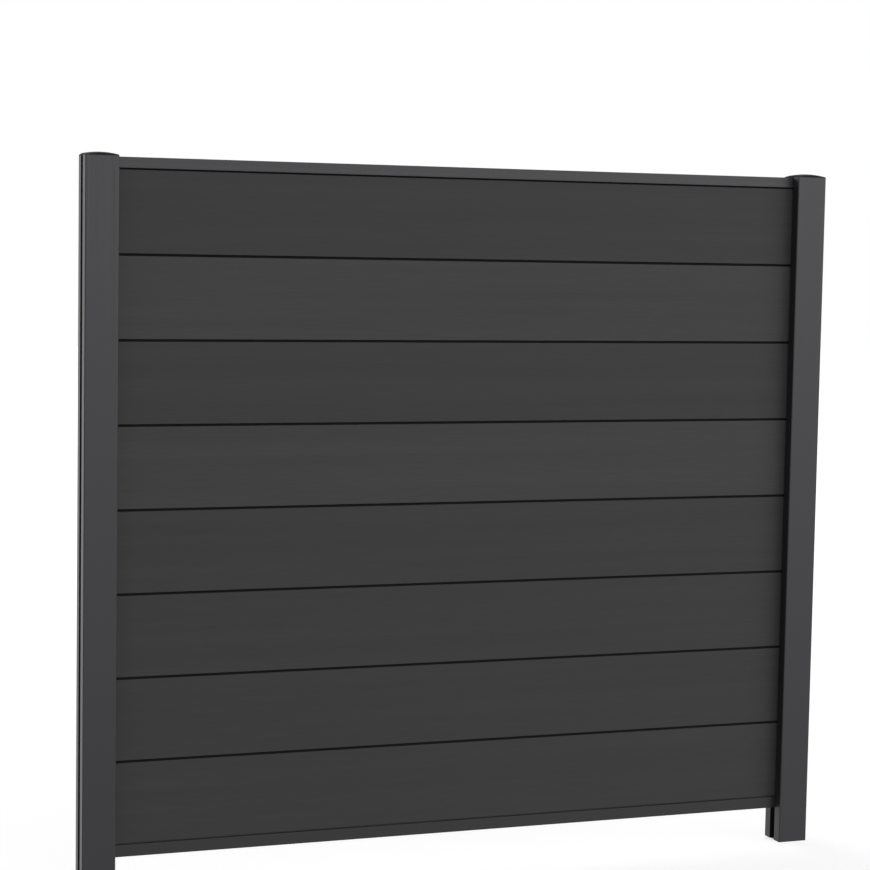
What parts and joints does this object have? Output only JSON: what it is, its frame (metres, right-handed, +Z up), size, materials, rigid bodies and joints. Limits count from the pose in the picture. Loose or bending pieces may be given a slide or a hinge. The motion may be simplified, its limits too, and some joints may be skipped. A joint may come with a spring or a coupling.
{
  "type": "composite fence panel",
  "caption": "Privacy fence bay: hollow tongue-and-groove composite boards stacked between slotted aluminium posts, with rails and domed post caps.",
  "frame": {"origin": "on the ground, midway between the posts and in their centre plane", "axes": "+X along the fence to the right as seen from the front, the front looks along -Y, +Z up"},
  "size_m": [1.93, 0.08, 1.753],
  "materials": {
    "powder_coated_aluminium": "satin",
    "composite_board": "matte",
    "cap_plastic": "satin",
    "seal_rubber": "matte",
    "bracket_aluminium": "satin",
    "screw_steel": "satin"
  },
  "bodies": {
    "root": {"left_post": "powder_coated_aluminium", "right_post": "powder_coated_aluminium", "top_rail": "powder_coated_aluminium", "bottom_rail": "powder_coated_aluminium", "board_1": "composite_board", "board_2": "composite_board", "board_3": "composite_board", "board_4": "composite_board", "board_5": "composite_board", "board_6": "composite_board", "board_7": "composite_board", "board_8": "composite_board", "left_post_cap": "cap_plastic", "right_post_cap": "cap_plastic", "left_front_seal": "seal_rubber", "left_rear_seal": "seal_rubber", "right_front_seal": "seal_rubber", "right_rear_seal": "seal_rubber", "left_rail_bracket": "bracket_aluminium", "right_rail_bracket": "bracket_aluminium", "bracket_screws": "screw_steel"}
  },
  "joints": []
}
